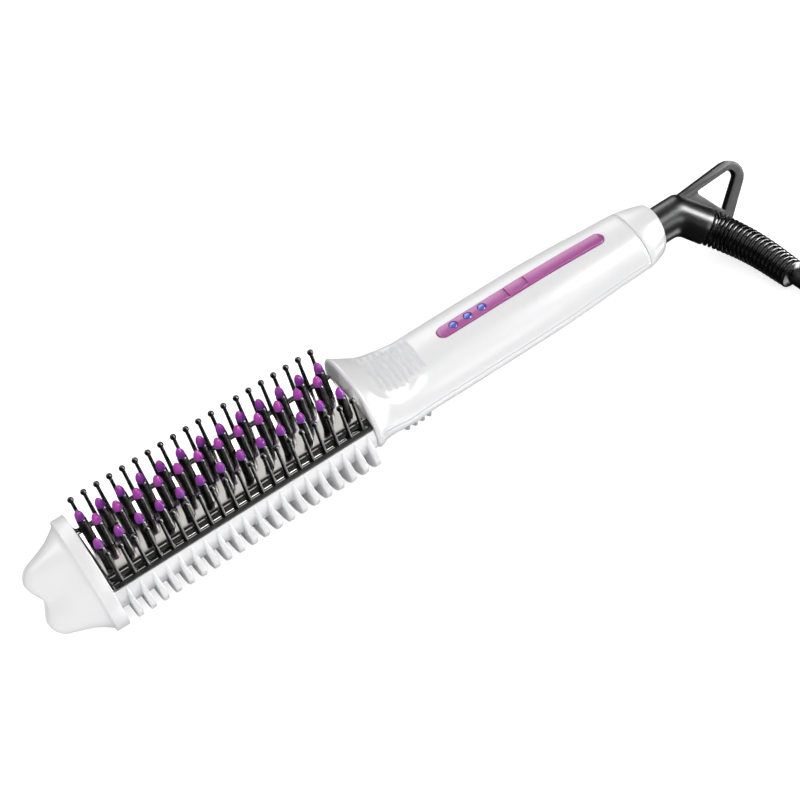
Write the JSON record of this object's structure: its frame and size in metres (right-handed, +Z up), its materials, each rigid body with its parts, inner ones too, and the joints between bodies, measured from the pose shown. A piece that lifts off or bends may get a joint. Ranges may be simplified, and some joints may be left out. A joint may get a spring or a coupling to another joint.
{
  "type": "heated hair comb",
  "caption": "Corded heated comb: ribbed round head with soft-tipped bristles between two rows of ball-tipped pins, oval handle with a lit button strip, and a swivel lead with a plug.",
  "frame": {"origin": "on the table, under the middle of the nose flange, where its flat rests", "axes": "+X along the comb from its nose to its cord, +Z up with the bristles pointing up"},
  "size_m": [0.534, 0.1133, 0.0542],
  "materials": {
    "shell": "gloss white ABS",
    "comb_black": "semi-gloss black nylon",
    "tip_purple": "soft silicone",
    "strip_purple": "gloss tinted acrylic",
    "window_blue": "clear tinted",
    "plate": "satin",
    "mica": "matte mica paper",
    "film": "amber insulating film",
    "electrode": "bare sheet",
    "stone": "matte",
    "board": "solder mask",
    "component": "matte",
    "beige": "matte",
    "steel": "plated",
    "brass": "bare",
    "red_wire": "insulation",
    "blue_wire": "insulation",
    "cord": "semi-matte PVC",
    "plug": "satin black"
  },
  "bodies": {
    "comb": {"nose_cap": "shell", "head_shell": "shell", "heat_plate": "plate", "comb_strip_front": "comb_black", "comb_strip_back": "comb_black", "bristle_row_front": "comb_black", "bristle_tips_front": "tip_purple", "bristle_row_middle": "comb_black", "bristle_tips_middle": "tip_purple", "bristle_row_back": "comb_black", "bristle_tips_back": "tip_purple", "heat_shield": "mica", "heater_sleeve": "film", "electrode_lower": "electrode", "electrode_upper": "electrode", "ceramic_stone_1": "stone", "ceramic_stone_2": "stone", "ceramic_stone_3": "stone", "thermal_fuse": "steel", "thermistor": "stone", "heater_lead_neutral": "blue_wire", "heater_lead_live": "red_wire", "upper_shell": "shell", "lower_shell": "shell", "end_cap": "shell", "shell_screw_1": "steel", "shell_screw_2": "steel", "light_strip": "strip_purple", "indicator_windows": "window_blue", "indicator_led_1": "window_blue", "indicator_led_2": "window_blue", "indicator_led_3": "window_blue", "circuit_board": "board", "board_screw_1": "steel", "board_screw_2": "steel", "tact_switch": "component", "film_capacitor": "beige", "power_triac": "component", "mains_lead_neutral": "blue_wire", "mains_lead_live": "red_wire", "contact_block": "beige", "contact_finger_centre": "brass", "contact_finger_outer": "brass"},
    "button": {"power_button": "strip_purple"},
    "cord_end": {"swivel_elbow": "comb_black", "retaining_clip": "steel", "contact_pin": "brass", "contact_ring": "brass", "strain_relief": "cord", "power_cord": "cord", "cord_coil": "cord", "cord_tail": "cord", "cord_tie": "component", "plug_grip": "cord", "plug_body": "plug", "plug_fuse_carrier": "component", "plug_fuse": "stone", "plug_live_pin": "brass", "plug_neutral_pin": "brass", "plug_earth_pin": "component"}
  },
  "joints": [
    {"name": "cord_swivel", "type": "hinge", "parent": "comb", "child": "cord_end", "pos_m": [0.278, 0, 0.021], "axis": [1, 0, 0], "continuous": true},
    {"name": "power_button_press", "type": "slide", "parent": "comb", "child": "button", "axis": [0, 0, -1], "range_m": [0, 0.0008], "stiffness_N_per_m": 600}
  ]
}
